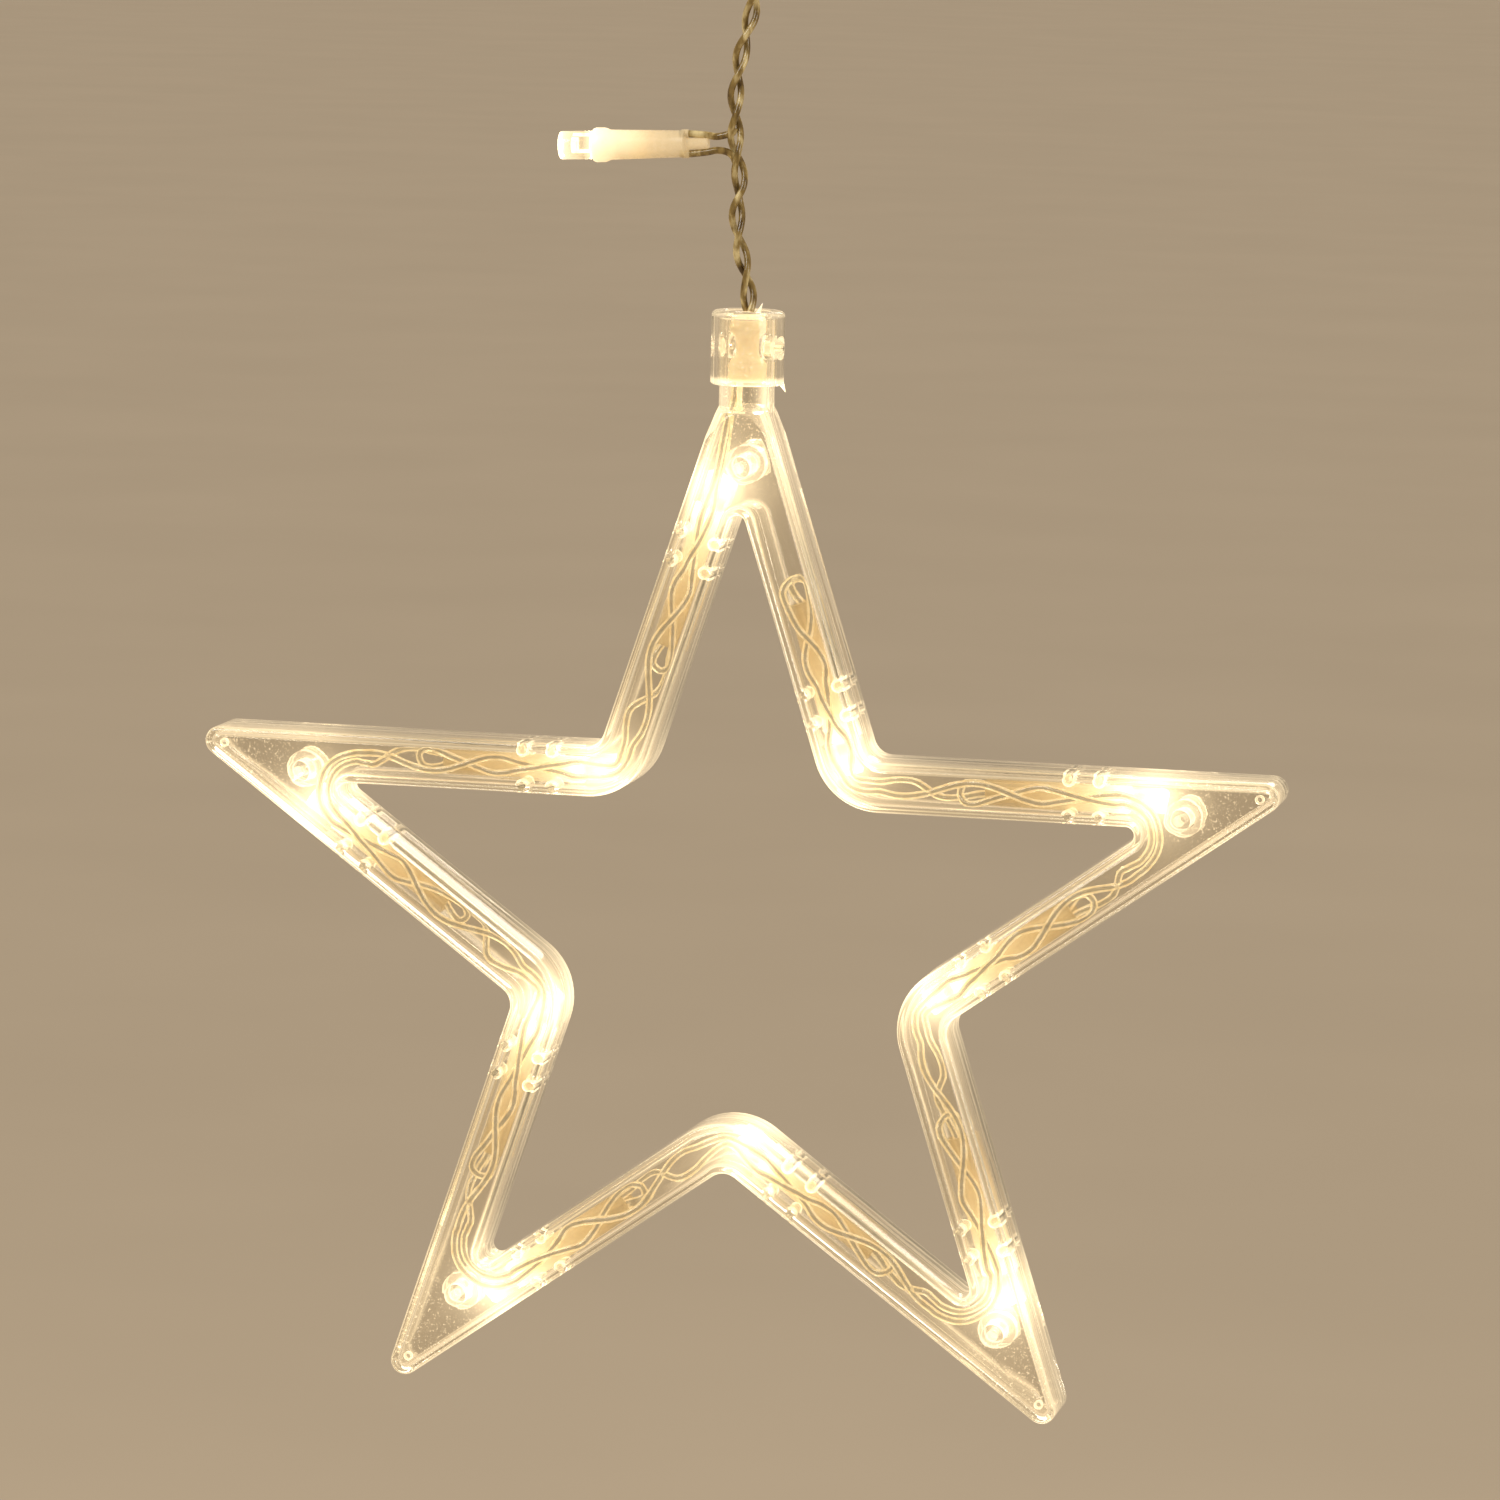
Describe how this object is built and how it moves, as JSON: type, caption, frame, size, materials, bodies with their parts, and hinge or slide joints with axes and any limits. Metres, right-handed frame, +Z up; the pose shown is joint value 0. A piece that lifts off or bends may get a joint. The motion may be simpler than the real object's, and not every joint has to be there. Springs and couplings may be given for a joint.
{
  "type": "star icicle light",
  "caption": "Clear hollow star frame with lamps inside its arms, hung by a capped neck from a twisted lead that carries a side lamp and ends in an open hook.",
  "frame": {"origin": "the hook's seat: the top of the inside of the hanging hook's loop", "axes": "+Z up along the lead, +X across the star to the right as seen from its front, -Y out of its front"},
  "size_m": [0.1954, 0.013, 0.2782],
  "materials": {
    "clear_plastic": "clear gloss",
    "milky_sleeve": "milky satin",
    "lamp_clear": "clear gloss, lit warm white",
    "milky_glue": "milky and waxy",
    "clear_wire": "clear gloss over dark copper"
  },
  "bodies": {
    "hanger": {"hanging_hook": "clear_plastic", "top_sleeve": "milky_sleeve"},
    "upper_run": {"upper_lead": "clear_wire"},
    "lead_lamp": {"bulb_lens": "lamp_clear", "bulb_sleeve": "milky_sleeve", "bulb_wires": "clear_wire"},
    "lower_run": {"lower_lead": "clear_wire"},
    "star": {"neck_cap": "clear_plastic", "glue_plug": "milky_glue", "front_shell": "clear_plastic", "back_shell": "clear_plastic", "through_wire": "clear_wire", "link_wire_01": "clear_wire", "link_wire_02": "clear_wire", "link_wire_03": "clear_wire", "link_wire_04": "clear_wire", "link_wire_05": "clear_wire", "link_wire_06": "clear_wire", "link_wire_07": "clear_wire", "link_wire_08": "clear_wire", "link_wire_09": "clear_wire", "link_wire_10": "clear_wire", "lamp_lens_01": "lamp_clear", "lamp_lens_02": "lamp_clear", "lamp_lens_03": "lamp_clear", "lamp_lens_04": "lamp_clear", "lamp_lens_05": "lamp_clear", "lamp_lens_06": "lamp_clear", "lamp_lens_07": "lamp_clear", "lamp_lens_08": "lamp_clear", "lamp_lens_09": "lamp_clear", "lamp_lens_10": "lamp_clear", "lamp_sleeve_01": "milky_sleeve", "lamp_sleeve_02": "milky_sleeve", "lamp_sleeve_03": "milky_sleeve", "lamp_sleeve_04": "milky_sleeve", "lamp_sleeve_05": "milky_sleeve", "lamp_sleeve_06": "milky_sleeve", "lamp_sleeve_07": "milky_sleeve", "lamp_sleeve_08": "milky_sleeve", "lamp_sleeve_09": "milky_sleeve", "lamp_sleeve_10": "milky_sleeve"}
  },
  "joints": [
    {"name": "lead_swing", "type": "hinge", "parent": "hanger", "child": "upper_run", "pos_m": [0, 0, -0.0254], "axis": [0, 1, 0], "range_deg": [-38, 38]},
    {"name": "lamp_bend", "type": "hinge", "parent": "upper_run", "child": "lead_lamp", "pos_m": [-0.0029, 0, -0.0518], "axis": [0, 1, 0], "range_deg": [-28, 28]},
    {"name": "lead_nod", "type": "hinge", "parent": "upper_run", "child": "lower_run", "pos_m": [-0.0029, 0, -0.0533], "axis": [1, 0, 0], "range_deg": [-32, 32]},
    {"name": "star_turn", "type": "hinge", "parent": "lower_run", "child": "star", "pos_m": [0, 0, -0.0811], "axis": [0, 0, 1], "range_deg": [-180, 180]}
  ]
}
